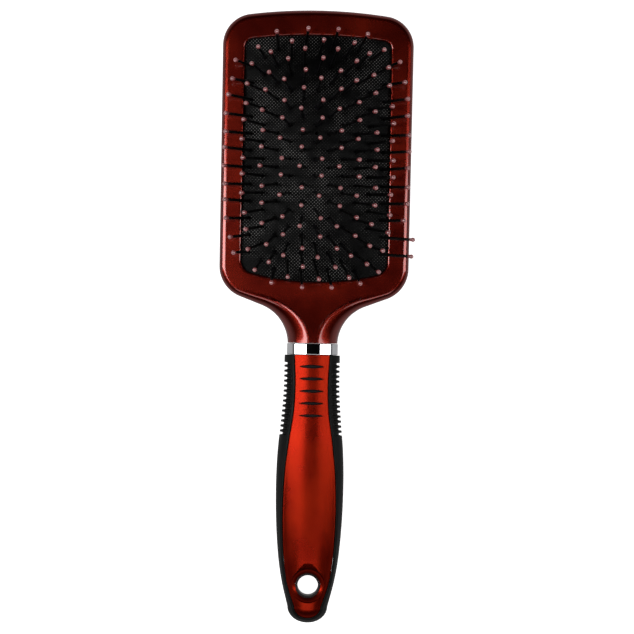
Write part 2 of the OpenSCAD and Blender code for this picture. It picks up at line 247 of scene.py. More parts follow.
# camera and softboxes
CAMERA_HEIGHT = 1250.0
CAMERA_X = 1.6
CAMERA_ROLL = math.radians(1.14)
CAMERA_FIELD = 252.9
SENSOR = 36
LIGHT_AIM = (0, 0, 10)
# name, place, width, length, watts
SOFTBOXES = (
    ("softbox_left", (-690, 30, 1100), 190, 1120, 6.3),
    ("softbox_right", (760, 30, 1050), 170, 1120, 3.4),
    ("softbox_low", (0, -460, 1250), 820, 300, 1.75),
)


# ---------------------------------------------------------------- small helpers


def lerp(a, b, t):
    return a + (b - a) * t


def smooth(t):
    """Soft step from 0 at t = 0 to 1 at t = 1."""
    c = np.clip(t, 0.0, 1.0)
    return c * c * (3 - 2 * c)


def unit(v):
    return v / np.linalg.norm(v)


def mesh_object(name, points, faces, material, angle=35, flat=False):
    """A piece made from points in millimetres."""
    mesh = bpy.data.meshes.new(name)
    mesh.from_pydata([tuple(p) for p in np.asarray(points) * MM], [], [tuple(f) for f in faces])
    mesh.validate()
    obj = bpy.data.objects.new(name, mesh)
    bpy.context.scene.collection.objects.link(obj)
    mesh.materials.append(material)
    recalc_normals(obj)
    if not flat:
        mesh.shade_smooth()
        mesh.set_sharp_from_angle(angle=math.radians(angle))
    return obj


def recalc_normals(obj):
    """Merges points that coincide and turns every face outwards."""
    bm = bmesh.new()
    bm.from_mesh(obj.data)
    bmesh.ops.remove_doubles(bm, verts=bm.verts, dist=1e-7)
    bmesh.ops.dissolve_degenerate(bm, edges=bm.edges, dist=1e-7)
    bmesh.ops.recalc_face_normals(bm, faces=bm.faces)
    bm.to_mesh(obj.data)
    bm.free()


def ring_faces(count, n, wrap_rings=False):
    """Faces of a tube of count rings with n points each, as index quads."""
    faces = []
    last = count if wrap_rings else count - 1
    for k in range(last):
        a, b = k * n, ((k + 1) % count) * n
        for i in range(n):
            j = (i + 1) % n
            faces.append((a + i, a + j, b + j, b + i))
    return faces


def end_faces(count, n):
    """The two faces that close a tube of count rings with n points each."""
    return [tuple(range(n)), tuple(range((count - 1) * n, count * n))]


def place(obj, body, slot, *nodes):
    """obj rides on body and stands for the CAD nodes, which it hides; slot is not used."""
    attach(obj, body)
    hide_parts(*nodes)
    return obj


# ---------------------------------------------------------------- materials


def material(name, color, rough, metallic=0.0, coat=0.0, coat_rough=0.05, specular=0.5):
    mat = bpy.data.materials.new(name)
    mat.use_nodes = True
    shader = mat.node_tree.nodes["Principled BSDF"]
    shader.inputs["Base Color"].default_value = (*color, 1)
    shader.inputs["Roughness"].default_value = rough
    shader.inputs["Metallic"].default_value = metallic
    shader.inputs["Coat Weight"].default_value = coat
    shader.inputs["Coat Roughness"].default_value = coat_rough
    shader.inputs["IOR"].default_value = 1.5
    shader.inputs["Specular IOR Level"].default_value = specular
    return mat, mat.node_tree, shader


def object_coords(tree):
    return tree.nodes.new("ShaderNodeTexCoord").outputs["Object"]


def noise(tree, scale, detail=3.0, rough=0.5, stretch=(1, 1, 1)):
    """Noise over the piece, with scale in features per metre."""
    mapping = tree.nodes.new("ShaderNodeMapping")
    mapping.inputs["Scale"].default_value = stretch
    tree.links.new(object_coords(tree), mapping.inputs["Vector"])
    node = tree.nodes.new("ShaderNodeTexNoise")
    node.inputs["Scale"].default_value = scale
    node.inputs["Detail"].default_value = detail
    node.inputs["Roughness"].default_value = rough
    tree.links.new(mapping.outputs["Vector"], node.inputs["Vector"])
    return node.outputs["Fac"]


def ramp(tree, value, low, high, start=0.3, stop=0.7):
    """Colour that goes from low to high as value goes from start to stop."""
    node = tree.nodes.new("ShaderNodeValToRGB")
    node.color_ramp.elements[0].position = start
    node.color_ramp.elements[1].position = stop
    node.color_ramp.elements[0].color = (*low, 1)
    node.color_ramp.elements[1].color = (*high, 1)
    tree.links.new(value, node.inputs["Fac"])
    return node.outputs["Color"]


def remap(tree, value, low, high, start=0.3, stop=0.7):
    """Number that goes from low to high as value goes from start to stop."""
    node = tree.nodes.new("ShaderNodeMapRange")
    node.inputs["From Min"].default_value = start
    node.inputs["From Max"].default_value = stop
    node.inputs["To Min"].default_value = low
    node.inputs["To Max"].default_value = high
    tree.links.new(value, node.inputs["Value"])
    return node.outputs["Result"]


def math_node(tree, operation, a, b=None):
    """One step of arithmetic on sockets or plain numbers."""
    node = tree.nodes.new("ShaderNodeMath")
    node.operation = operation
    for socket, value in zip(node.inputs, (a, b)):
        if value is None:
            continue
        if isinstance(value, (int, float)):
            socket.default_value = value
        else:
            tree.links.new(value, socket)
    return node.outputs["Value"]


def bump(tree, shader, heights):
    """Stacks (height, distance in mm, strength) bumps on the shader."""
    normal = None
    for value, distance, strength in heights:
        node = tree.nodes.new("ShaderNodeBump")
        node.inputs["Distance"].default_value = distance * MM
        node.inputs["Strength"].default_value = strength
        tree.links.new(value, node.inputs["Height"])
        if normal is not None:
            tree.links.new(normal, node.inputs["Normal"])
        normal = node.outputs["Normal"]
    tree.links.new(normal, shader.inputs["Normal"])


def lacquer(name, deep, bright, rough, flake, coat, coat_rough, metallic=0.9):
    """Metallic red plastic under clear lacquer, with a fine pearl in it."""
    mat, tree, shader = material(name, deep, rough, metallic, coat, coat_rough)
    pearl = noise(tree, 9000, detail=2, rough=0.7)
    cloud = noise(tree, 45, detail=3, rough=0.55)
    fine = math_node(tree, "MULTIPLY", pearl, 0.35)
    broad = math_node(tree, "MULTIPLY", cloud, 0.65)
    both = math_node(tree, "ADD", fine, broad)
    tree.links.new(ramp(tree, both, deep, bright, 0.38, 0.64), shader.inputs["Base Color"])
    tree.links.new(remap(tree, cloud, rough - 0.04, rough + 0.05), shader.inputs["Roughness"])
    bump(tree, shader, [(pearl, 0.02, flake), (noise(tree, 320, detail=2), 0.06, 0.05)])
    return mat


def rubber(name, dark, light, rough, grain):
    """Satin rubber with a fine moulded grain and a little dust."""
    mat, tree, shader = material(name, dark, rough, specular=0.12)
    grit = noise(tree, 4200, detail=4, rough=0.65)
    dust = noise(tree, 150, detail=5, rough=0.6)
    tree.links.new(ramp(tree, dust, dark, light, 0.35, 0.75), shader.inputs["Base Color"])
    tree.links.new(remap(tree, dust, rough - 0.06, rough + 0.1), shader.inputs["Roughness"])
    bump(tree, shader, [(grit, 0.03, grain)])
    return mat


def wave_along(tree, axis_value, pitch):
    """Sine of a coordinate, with one turn per pitch in millimetres."""
    turns = 2 * math.pi / (pitch * MM)
    return math_node(tree, "SINE", math_node(tree, "MULTIPLY", axis_value, turns))


def cushion_rubber():
    """Black rubber with a fine diamond weave; its raised points carry painted highlights, dimmed in
    patches by painted shade between the pins.
    """
    # painted highlight: the pale colour stands for light caught on the weave's raised points
    dark, light = (0.0008, 0.0008, 0.0008), (0.24, 0.235, 0.225)
    mat, tree, shader = material("cushion_rubber", dark, 0.5, specular=0.1)
    split = tree.nodes.new("ShaderNodeSeparateXYZ")
    tree.links.new(object_coords(tree), split.inputs["Vector"])
    over = wave_along(tree, split.outputs["X"], WEAVE_PITCH)
    under = wave_along(tree, split.outputs["Y"], WEAVE_PITCH)
    wave = math_node(tree, "MULTIPLY", over, under)
    dust = noise(tree, 220, detail=5, rough=0.65)
    weave = remap(tree, wave, 0.0, 1.0, -1.0, 1.0)
    # painted light and shade: broad noise dims the painted highlights in patches, where the pins'
    # shadows would fall
    lit_patches = remap(tree, noise(tree, 75, detail=3, rough=0.6), 0.72, 1.05, 0.35, 0.62)
    points = math_node(tree, "MULTIPLY", weave, lit_patches)
    tree.links.new(ramp(tree, points, dark, light, 0.76, 1.0), shader.inputs["Base Color"])
    tree.links.new(remap(tree, dust, 0.4, 0.55), shader.inputs["Roughness"])
    bump(tree, shader, [(weave, 0.1, 0.8), (noise(tree, 5000, detail=2), 0.02, 0.3)])
    return mat


def nylon():
    """Black nylon with faint streaks along the pin."""
    mat, tree, shader = material("pin_nylon", (0.002, 0.002, 0.002), 0.34, specular=0.2)
    streak = noise(tree, 900, detail=3, stretch=(1, 1, 0.2))
    black = ramp(tree, streak, (0.001, 0.001, 0.001), (0.005, 0.0048, 0.0048))
    tree.links.new(black, shader.inputs["Base Color"])
    tree.links.new(remap(tree, streak, 0.24, 0.38), shader.inputs["Roughness"])
    return mat


def epoxy_ball():
    """Pink epoxy, glossy enough for a light spot on each small ball."""
    base = (0.4, 0.1, 0.11)
    mat, tree, shader = material("tip_pink", base, 0.3, coat=1.0, coat_rough=0.06, specular=0.6)
    shader.inputs["Coat IOR"].default_value = 2.4
    blotch = noise(tree, 260, detail=4)
    pink = ramp(tree, blotch, (0.3, 0.055, 0.06), (0.44, 0.12, 0.125))
    tree.links.new(pink, shader.inputs["Base Color"])
    tree.links.new(remap(tree, blotch, 0.25, 0.42), shader.inputs["Roughness"])
    bump(tree, shader, [(noise(tree, 1500, detail=2), 0.04, 0.25)])
    return mat


def chrome():
    """Polished metal with faint scratches round the band."""
    mat, tree, shader = material("chrome", (0.74, 0.74, 0.76), 0.07, metallic=1.0)
    wear = noise(tree, 700, detail=5, rough=0.7, stretch=(1, 0.15, 1))
    tree.links.new(remap(tree, wear, 0.02, 0.06), shader.inputs["Roughness"])
    silver = ramp(tree, wear, (0.7, 0.7, 0.72), (0.8, 0.8, 0.82))
    tree.links.new(silver, shader.inputs["Base Color"])
    bump(tree, shader, [(wear, 0.01, 0.06)])
    return mat


HEAD_RED = lacquer(
    "head_red",
    (0.14, 0.004, 0.0005),
    (0.2, 0.009, 0.001),
    rough=0.24,
    flake=0.12,
    coat=1.0,
    coat_rough=0.08,
)
HANDLE_RED = lacquer(
    "handle_red",
    (0.18, 0.004, 0.0003),
    (0.27, 0.011, 0.001),
    rough=0.28,
    flake=0.2,
    coat=0.01,
    coat_rough=0.28,
    metallic=0.95,
)
CUSHION = cushion_rubber()
NYLON = nylon()
PINK = epoxy_ball()
CHROME = chrome()
GRIP = rubber("grip_rubber", (0.003, 0.0032, 0.003), (0.008, 0.0078, 0.0074), 0.42, 0.35)
BARS = rubber("bar_rubber", (0.008, 0.01, 0.011), (0.016, 0.018, 0.019), 0.36, 0.3)
LINER = rubber("liner_rubber", (0.02, 0.014, 0.014), (0.05, 0.036, 0.036), 0.34, 0.2)


# ---------------------------------------------------------------- outlines


def corner(a, v, b, r, n, f0=0.0, f1=1.0):
    """Rounded corner at v between a and b: rows of x, y, normal x, normal y.

    f0 and f1 are the shares of the arc where the n steps start and end.
    """
    a, v, b = (np.array(q, float) for q in (a, v, b))
    e1, e2 = unit(v - a), unit(b - v)
    n1, n2 = np.array([e1[1], -e1[0]]), np.array([e2[1], -e2[0]])
    turn = math.atan2(e1[0] * e2[1] - e1[1] * e2[0], e1 @ e2)
    side = math.copysign(1.0, turn)
    centre = v - side * r * (n1 + n2) / (1 + n1 @ n2)
    q = math.atan2(n1[1], n1[0]) + turn * np.linspace(f0, f1, n + 1)
    normal = np.column_stack([np.cos(q), np.sin(q)])
    return np.column_stack([centre + side * r * normal, normal])


def straight(p, q, n):
    """n steps from row p to row q, without its ends."""
    return np.array([lerp(p, q, i / n) for i in range(1, n)]).reshape(-1, len(p))


def closed(half):
    """Right half from x = 0 up to x = 0, closed with its mirror image."""
    left = half[-2:0:-1] * np.array([-1, 1, -1, 1])
    return np.vstack([half, left])


def moved(path, d):
    """The path's points, d along their normals."""
    return path[:, :2] + path[:, 2:] * np.asarray(d).reshape(-1, 1)


def rise(slope, r):
    """How far a rounding of radius r stays away from its corner point."""
    return r * (1 / math.cos(math.atan(slope)) - 1)


# points along each stretch, the same for the head's outline and the window's
STEPS = dict(end=8, hollow=28, flank=8, foot=24, side=64, corner=24, brow=3, crown=26)


def joined(parts, gaps):
    """Parts one after the other, with a straight stretch of so many steps between each two."""
    rows = [parts[0]]
    for before, after, n in zip(parts, parts[1:], gaps):
        rows += [straight(before[-1], after[0], n), after]
    return np.vstack(rows)


def head_half():
    """Right half of the head's outline, from the neck's end up to the middle of the crown."""
    crown = (0.0, TOP_Y + rise(CROWN_SLOPE, CROWN_R))
    top = (HEAD_W / 2, crown[1] - CROWN_SLOPE * HEAD_W / 2)
    hollow = (HOLLOW_X, HOLLOW_Y)
    shoulder = (HEAD_LOW_W / 2, HOLLOW_Y + SHOULDER_SLOPE * (HEAD_LOW_W / 2 - HOLLOW_X))
    end = np.array([(t * NECK_W / 2, NECK_Y, t, 0.0) for t in np.linspace(0, 1, STEPS["end"] + 1)])
    a = corner((NECK_W / 2, NECK_Y), hollow, shoulder, NECK_R, STEPS["hollow"] - 1)
    b = corner(hollow, shoulder, top, SHOULDER_R, STEPS["foot"])
    c = corner(shoulder, top, crown, CORNER_R, STEPS["corner"])
    d = corner(top, crown, (-top[0], top[1]), CROWN_R, STEPS["crown"], 0, 0.5)
    return np.vstack([end, joined([a, b, c, d], [STEPS[k] for k in ("flank", "side", "brow")])])


def pad_corners():
    crown = (0.0, PAD_HIGH + rise(CROWN_SLOPE, CROWN_R))
    top = (PAD_HW, crown[1] - CROWN_SLOPE * PAD_HW)
    bow = (0.0, PAD_LOW - rise(BOW_SLOPE, BOW_R))
    foot = (PAD_HW, bow[1] + BOW_SLOPE * PAD_HW)
    return bow, foot, top, crown


def pad_half(steps=STEPS):
    """Right half of the window's outline, from the middle of its lower edge up to its top."""
    bow, foot, top, crown = pad_corners()
    across = steps["end"] + steps["hollow"]
    a = corner((-foot[0], foot[1]), bow, foot, BOW_R, across, 0.5, 1)
    b = corner(bow, foot, top, PAD_FOOT_R, steps["foot"])
    c = corner(foot, top, crown, PAD_TOP_R, steps["corner"])
    d = corner(top, crown, (-top[0], top[1]), CROWN_R, steps["crown"], 0, 0.5)
    return joined([a, b, c, d], [steps[k] for k in ("flank", "side", "brow")])


# ---------------------------------------------------------------- head


def narrow(y):
    """0 on the head, 1 at the neck's end."""
    return smooth((NARROW_FROM - y) / (NARROW_FROM - NARROW_TO))


def front_z(y):
    return lerp(HEAD_T, AXIS_Z + NECK_T / 2, narrow(y))


def back_z(y):
    return lerp(0.0, AXIS_Z - NECK_T / 2, narrow(y))


def edge_level(path, q, r, up):
    """Loop on the rounded edge at angle q: 90 degrees at the outline, 0 on the flat face."""
    y = path[:, 1]
    d = lerp(r, NECK_EDGE, narrow(y)) * (1 - math.sin(math.radians(q)))
    h = lerp(r, NECK_T / 2 - NECK_SIDE, narrow(y)) * (1 - math.cos(math.radians(q)))
    z = front_z(y) - h if up else back_z(y) + h
    return np.column_stack([moved(path, -d), z])


def loop_at(path, d, z):
    """Level loop at height z, d outside the path."""
    flat = moved(path, d)
    return np.column_stack([flat, np.full(len(flat), z)])


def between(outer, inner, n, height):
    """Loops from outer to inner on the surface height(y), without the two ends."""
    rings = []
    for i in range(1, n):
        flat = lerp(outer[:, :2], inner[:, :2], i / n)
        rings.append(np.column_stack([flat, height(flat[:, 1])]))
    return rings


def round_lip(path, r, z, steps=7):
    """Loops that round the upper edge of the window from the face into its wall."""
    rings = []
    for q in np.linspace(0, math.pi / 2, steps):
        rings.append(loop_at(path, r * (1 - math.sin(q)), z - r * (1 - math.cos(q))))
    return rings


def build_head_front():
    """Front half of the head: outer wall, rounded edge, face, lip and the room for the rim."""
    head, pad = closed(head_half()), closed(pad_half())
    edge = [edge_level(head, q, FRONT_EDGE, True) for q in EDGE_ANGLES]
    lip = round_lip(pad, LIP_R, HEAD_T)
    seam_z = SPLIT_Z + SEAM
    rings = [loop_at(head, -SEAM_BEVEL, seam_z), loop_at(head, 0, seam_z + SEAM_BEVEL)]
    rings += edge
    rings += between(edge[-1], lip[0], FACE_RINGS, front_z)
    rings += lip
    rings += [
        loop_at(pad, 0, LIP_Z + LIP_BEVEL),
        loop_at(pad, LIP_BEVEL, LIP_Z),
        loop_at(pad, BEAD_OUT + FRAME_GAP, LIP_Z),
        loop_at(pad, BEAD_OUT + FRAME_GAP, seam_z),
    ]
    n = len(head)
    obj = mesh_object("head_front", np.vstack(rings), ring_faces(len(rings), n, True), HEAD_RED, 30)
    return place(obj, "brush", "head_red", "head_frame")


def build_head_back():
    """Back half of the head: air chamber, ledge, outer wall, rounded edge and back face."""
    head, pad = closed(head_half()), closed(pad_half())
    edge = [edge_level(head, q, BACK_EDGE, False) for q in EDGE_ANGLES]
    face = loop_at(pad, 0, 0)
    seam_z = SPLIT_Z - SEAM
    rings = [
        loop_at(pad, -BEAD_IN, FLOOR_Z),
        loop_at(pad, -BEAD_IN, BEAD_LOW - BEAD_GAP),
        loop_at(pad, BEAD_OUT + LEDGE_GAP, BEAD_LOW - BEAD_GAP),
        loop_at(pad, BEAD_OUT + LEDGE_GAP, seam_z),
        loop_at(head, -SEAM_BEVEL, seam_z),
        loop_at(head, 0, seam_z - SEAM_BEVEL),
    ]
    rings += edge
    rings += between(edge[-1], face, FACE_RINGS, back_z)
    rings += [face]
    n = len(head)
    faces = ring_faces(len(rings), n) + end_faces(len(rings), n)
    obj = mesh_object("head_back", np.vstack(rings), faces, HEAD_RED, 30)
    return place(obj, "brush", "head_red", "head_tray")


# ---------------------------------------------------------------- cushion and pins


def share(x, y):
    """Height of the dome as a share of its height in the middle."""
    u = np.abs(x) / DOME_X
    v = np.abs(y - PAD_MID) / DOME_Y
    return np.maximum(0, 1 - u**2) * np.maximum(0, 1 - v**ROW_POWER)


def pin_spots():
    """Where the pins stand: eleven columns, longer and shorter by turns."""
    spots = []
    for k in range(-5, 6):
        rows = COLUMN_ROWS[abs(k)]
        for j in range(rows):
            spots.append((k * COL_PITCH, FIELD_Y + (j - (rows - 1) / 2) * ROW_PITCH))
    return spots


def zone_of(x, y):
    """Number of the body that the pin at x, y belongs to."""
    s = share(x, y)
    return next(k for k in range(1, 7) if ZONE_EDGES[k] <= s < ZONE_EDGES[k - 1])


def stray(x, y, turn):
    """Small lean that looks random and is the same on every run."""
    return STRAY * math.sin(math.radians(turn + 137 * x + 71 * y))


def splayed(x, y):
    """The two lowest pins on the right stand out past the head."""
    return x > SPLAY_X and y < SPLAY_Y


def pin_lean(x, y):
    """Direction of the pin that stands at x, y."""
    u = x / DOME_X
    v = (y - PAD_MID) / DOME_Y
    fall_x = 2 * u / DOME_X * (1 - abs(v) ** ROW_POWER)
    fall_y = math.copysign(ROW_POWER * abs(v) ** (ROW_POWER - 1) / DOME_Y * (1 - u * u), v)
    splay = SPLAY if splayed(x, y) else 0.0
    return unit(np.array([
        DOME_H * FAN * fall_x + SWAY * (1 - u * u) + splay + stray(x, y, 20),
        DOME_H * FAN * fall_y + stray(x, y, 140),
        1.0,
    ]))


def dome_grid():
    """Rows of x, y over the window, fine enough for the pins' holes."""
    steps = dict(STEPS, end=3, hollow=9, flank=2, foot=12, side=132, corner=9, brow=2, crown=10)
    rows = pad_half(steps)[1:-1]
    edge = moved(rows, -DOME_GAP)
    t = np.linspace(-1, 1, DOME_COLUMNS + 1)
    return edge[:, None, :] * np.stack([t, np.ones_like(t)], axis=1)[None, :, :]


def grid_quads(rows, cols):
    """Quads of a grid of points, row by row."""
    index = np.arange(rows * cols).reshape(rows, cols)
    corners = [index[:-1, :-1], index[:-1, 1:], index[1:, 1:], index[1:, :-1]]
    return np.stack(corners, axis=-1).reshape(-1, 4)


def away_from(points, x, y):
    """Distance of each point from x, y."""
    return np.hypot(points[:, 0] - x, points[:, 1] - y)


def punch(flat, quads, holes):
    """Takes the quads over the holes away and moves the points around them onto round edges."""
    gone = np.zeros(len(flat), bool)
    for x, y, r in holes:
        gone |= away_from(flat, x, y) < r + HOLE_CLEAR
    lost = gone[quads].any(axis=1)
    rim = np.unique(quads[lost])
    rim = rim[~gone[rim]]
    for x, y, r in holes:
        away = flat[rim] - (x, y)
        dist = np.hypot(away[:, 0], away[:, 1])
        near = dist < r + HOLE_REACH
        flat[rim[near]] = np.array([x, y]) + away[near] * (r / dist[near])[:, None]
    return quads[~lost]


def thickened(top, quads, thickness):
    """Closed shell of that thickness under a sheet of quads."""
    count = len(top)
    faces = [tuple(q) for q in quads] + [tuple(q[::-1] + count) for q in quads]
    edges = {(q[i], q[(i + 1) % 4]): True for q in quads for i in range(4)}
    for a, b in edges:
        if (b, a) not in edges:
            faces.append((b, a, a + count, b + count))
    return np.vstack([top, top - np.array([0, 0, thickness])]), faces


def build_cushion_dome():
    """Domed rubber with a hole for every pin, a dimple round each, and a breather hole."""
    grid = dome_grid()
    rows, cols, _ = grid.shape
    flat = grid.reshape(-1, 2).copy()
    pin_holes = [(x, y, PIN_HOLE_R) for x, y in pin_spots()]
    breather = (0.0, FIELD_Y + 1.5 * ROW_PITCH, BREATHER_R)
    quads = punch(flat, grid_quads(rows, cols), pin_holes + [breather])
    height = RIM_Z + DOME_H * share(flat[:, 0], flat[:, 1])
    for x, y, r in pin_holes:
        height -= DIMPLE * np.exp(-(((away_from(flat, x, y) - r) / DIMPLE_W) ** 2))
    used = np.unique(quads)
    renumber = np.full(len(flat), -1)
    renumber[used] = np.arange(len(used))
    top = np.column_stack([flat[used], height[used]])
    points, faces = thickened(top, renumber[quads], RUBBER_T)
    obj = mesh_object("cushion_dome", points, faces, CUSHION, 40)
    place(obj, "brush", "cushion_rubber", "cushion")
    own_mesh(obj)
    return obj


def build_cushion_rim():
    """The part of the rubber that the head's two halves clamp."""
    pad = closed(pad_half())
    top, low, r = LIP_Z - BEAD_GAP, BEAD_LOW, BEAD_R
    rings = [
        loop_at(pad, -BEAD_IN, low),
        loop_at(pad, BEAD_OUT - r, low),
        loop_at(pad, BEAD_OUT, low + r),
        loop_at(pad, BEAD_OUT, top - r),
        loop_at(pad, BEAD_OUT - r, top),
        loop_at(pad, -BEAD_IN, top),
    ]
    faces = ring_faces(len(rings), len(pad), True)
    obj = mesh_object("cushion_rim", np.vstack(rings), faces, CUSHION)
    return place(obj, "brush", "cushion_rubber", "cushion")


def pin_frame(x, y):
    """Foot of a pin and three axes, the last along the pin."""
    foot = np.array([x, y, RIM_Z + DOME_H * float(share(x, y))])
    d = pin_lean(x, y)
    side = unit(np.cross((0.0, 1.0, 0.0), d))
    return foot, side, np.cross(d, side), d


def revolved(profile, foot, a, b, d, segments):
    """Points and faces of a profile (radius, height) turned round the axis d."""
    q = np.linspace(0, 2 * math.pi, segments, endpoint=False)
    circle = np.cos(q)[:, None] * a + np.sin(q)[:, None] * b
    rings = [foot + d * h + circle * r for r, h in profile]
    faces = ring_faces(len(profile), segments) + end_faces(len(profile), segments)
    return np.vstack(rings), faces


def pin_profile(x, y):
    """Radius and height of a pin from its flange under the dome up to its slightly thinner end."""
    top = -FLANGE_LOW if splayed(x, y) else -FLANGE_TOP
    return [
        (FLANGE_R - FLANGE_BEVEL, top - FLANGE_T),
        (FLANGE_R, top - FLANGE_T + FLANGE_BEVEL),
        (FLANGE_R, top - FLANGE_BEVEL),
        (FLANGE_R - FLANGE_BEVEL, top),
        (PIN_R, top),
        (PIN_R, 0.0),
        (PIN_R * 0.99, 4.0),
        (PIN_R * 0.95, 9.0),
        (PIN_R * 0.9, PIN_REACH - 0.3),
        (PIN_R * 0.6, PIN_REACH),
    ]


def ball_profile(x, y):
    """A dipped ball: round, with a small neck towards the pin."""
    tall = 1 - 1.2 * abs(stray(x, y, 75))
    neck = ((0.5, 1.42), (1.02, 1.38), (1.16, 1.1))
    profile = [(PIN_R * wide, PIN_REACH - below) for wide, below in neck]
    for q in np.linspace(-0.86, 1.45, 11):
        profile.append((BALL_R * math.cos(q), PIN_REACH + BALL_R * tall * math.sin(q)))
    return profile


def merged(parts):
    """Points and faces of several shapes as one."""
    points, faces, start = [], [], 0
    for p, f in parts:
        points.append(p)
        faces += [tuple(i + start for i in face) for face in f]
        start += len(p)
    return np.vstack(points), faces


def build_pins():
    """Pins and balls, in one piece of each for every zone of the cushion."""
    for zone in range(1, 7):
        spots = [spot for spot in pin_spots() if zone_of(*spot) == zone]
        for kind, profile, segments, look, slot in (
            ("pins", pin_profile, 12, NYLON, "pin_nylon"),
            ("tips", ball_profile, 16, PINK, "tip_pink"),
        ):
            parts = [revolved(profile(*spot), *pin_frame(*spot), segments) for spot in spots]
            obj = mesh_object(f"{kind}_zone_{zone}", *merged(parts), look, 50)
            place(obj, f"zone_{zone}", slot, f"{kind}_{zone}")


# ---------------------------------------------------------------- ferrule


def power(v):
    return np.sign(v) * np.abs(v) ** (2 / OVAL_N)


def oval_loop(w, t, y):
    """Loop of a rounded oval across the handle's axis."""
    q = np.linspace(0, 2 * math.pi, OVAL_POINTS, endpoint=False)
    x, z = w * power(np.cos(q)), AXIS_Z + t * power(np.sin(q))
    return np.column_stack([x, np.full(OVAL_POINTS, y), z])


def build_ferrule():
    """Metal band with rounded edges."""
    w, t = (BAND_HI[0] - BAND_LO[0]) / 2, (BAND_HI[2] - BAND_LO[2]) / 2
    top, low = BAND_HI[1], BAND_LO[1]
    wall, r = BAND_WALL, BAND_EDGE
    edge = [(r, 0.0), (r * 0.3, r * 0.3), (0.0, r), (0.0, r + 0.1)]
    profile = [(wall, top)] + [(d, top - y) for d, y in edge]
    profile += [(d, low + y) for d, y in edge[::-1]] + [(wall, low)]
    rings = [oval_loop(w - d, t - d, y) for d, y in profile]
    faces = ring_faces(len(rings), OVAL_POINTS, True)
    obj = mesh_object("ferrule_band", np.vstack(rings), faces, CHROME, 60)
    return place(obj, "brush", "chrome", "ferrule")


# ---------------------------------------------------------------- handle


def along(table, d, column):
    """Value of a station table's column at distance d, as a smooth curve."""
    at, value = table[:, 0], table[:, column]
    slope = np.empty(len(at))
    slope[1:-1] = (value[2:] - value[:-2]) / (at[2:] - at[:-2])
    slope[0] = (value[1] - value[0]) / (at[1] - at[0])
    slope[-1] = (value[-1] - value[-2]) / (at[-1] - at[-2])
    i = np.clip(np.searchsorted(at, d, side="right") - 1, 0, len(at) - 2)
    h = at[i + 1] - at[i]
    t = (d - at[i]) / h
    return (
        (2 * t**3 - 3 * t**2 + 1) * value[i]
        + (t**3 - 2 * t**2 + t) * h * slope[i]
        + (3 * t**2 - 2 * t**3) * value[i + 1]
        + (t**3 - t**2) * h * slope[i + 1]
    )


def cap(w, length, t):
    """Half width of a rounded end of that length, at distance t from its start."""
    return w * np.sqrt(np.maximum(0, 1 - (np.minimum(t, length) / length) ** 2))


def half_size(d, column, inset):
    """Half width (column 1) or half thickness (column 2) of the handle at distance d."""
    d = np.asarray(d, float)
    body = along(HANDLE_AT, np.minimum(d, TAIL), column) - inset
    tail = cap(HANDLE_AT[-1, column] - inset, -END_Y - TAIL - inset, d - TAIL)
    return np.where(d <= TAIL, body, tail)


def window_w(d):
    """Half width of the red window at distance d."""
    d = np.asarray(d, float)
    body = along(WINDOW_AT, np.minimum(d, TAIL), 1)
    return np.where(d <= TAIL, body, cap(WINDOW_AT[-1, 1], WINDOW_END - TAIL, d - TAIL))


def surface_z(x, d, inset):
    """Height of the handle's skin above its axis, moved inwards by inset."""
    a, b = half_size(d, 1, inset), half_size(d, 2, inset)
    u = np.minimum(1, np.abs(x) / np.maximum(a, 1e-6))
    return b * (1 - u**SECTION_N) ** (1 / SECTION_N)


def tail_distances():
    """Distances of the core's rows: even on the handle, closer at its end."""
    body = np.linspace(HANDLE_TOP, TAIL, 150)
    angles = np.linspace(0, math.pi / 2, 26)[1:-1]
    return np.concatenate([body, TAIL + (WINDOW_END - TAIL) * np.sin(angles), [WINDOW_END - 0.004]])


def core_row(d):
    """Half section of the core at distance d: right side, from the front's middle to the back's."""
    w = float(window_w(d)) - WINDOW_GAP
    edge = min(WINDOW_EDGE, w * 0.4)
    x = list(w * np.linspace(0, 1, 25)[:-1] * (1 - edge / w)) if w > 0 else [0.0] * 24
    front = [(q, float(surface_z(q, d, SINK))) for q in x]
    z_edge = float(surface_z(w - edge, d, SINK))
    for q in np.linspace(0, math.pi / 2, 6):
        front.append((w - edge + edge * math.sin(q), z_edge - edge * (1 - math.cos(q))))
    a, b = float(half_size(d, 1, GRIP_T)), float(half_size(d, 2, GRIP_T))
    start = min(w, a)
    z_in = b * (1 - min(1, start / max(a, 1e-6)) ** SECTION_N) ** (1 / SECTION_N)
    front.append((w, max(z_in, 0.0)))
    side = []
    for t in np.linspace(0, 1, 9)[1:]:
        z = z_in * (1 - t)
        side.append((a * (1 - min(1, z / max(b, 1e-6)) ** SECTION_N) ** (1 / SECTION_N), z))
    upper = front + side
    lower = [(px, -pz) for px, pz in upper[-2::-1]]
    return np.array(upper + lower)


def build_core():
    """Red core: window on both faces, narrow behind the rubber, cut for the bars and the hole."""
    rows = []
    for d in tail_distances():
        half = core_row(d)
        left = half[-2:0:-1] * np.array([-1, 1])
        ring = np.vstack([half, left])
        rows.append(np.column_stack([ring[:, 0], np.full(len(ring), -d), AXIS_Z + ring[:, 1]]))
    n = len(rows[0])
    faces = ring_faces(len(rows), n) + end_faces(len(rows), n)
    sharp = 38
    obj = mesh_object("handle_core_shell", np.vstack(rows), faces, HANDLE_RED, sharp)
    cut(obj, hole_cutter())
    for i in range(BAR_COUNT):
        cut(obj, lens_mesh(f"pocket_{i}", i, POCKET_GAP, True))
    obj.data.shade_smooth()
    obj.data.set_sharp_from_angle(angle=math.radians(sharp))
    return place(obj, "brush", "handle_red", "handle_core")


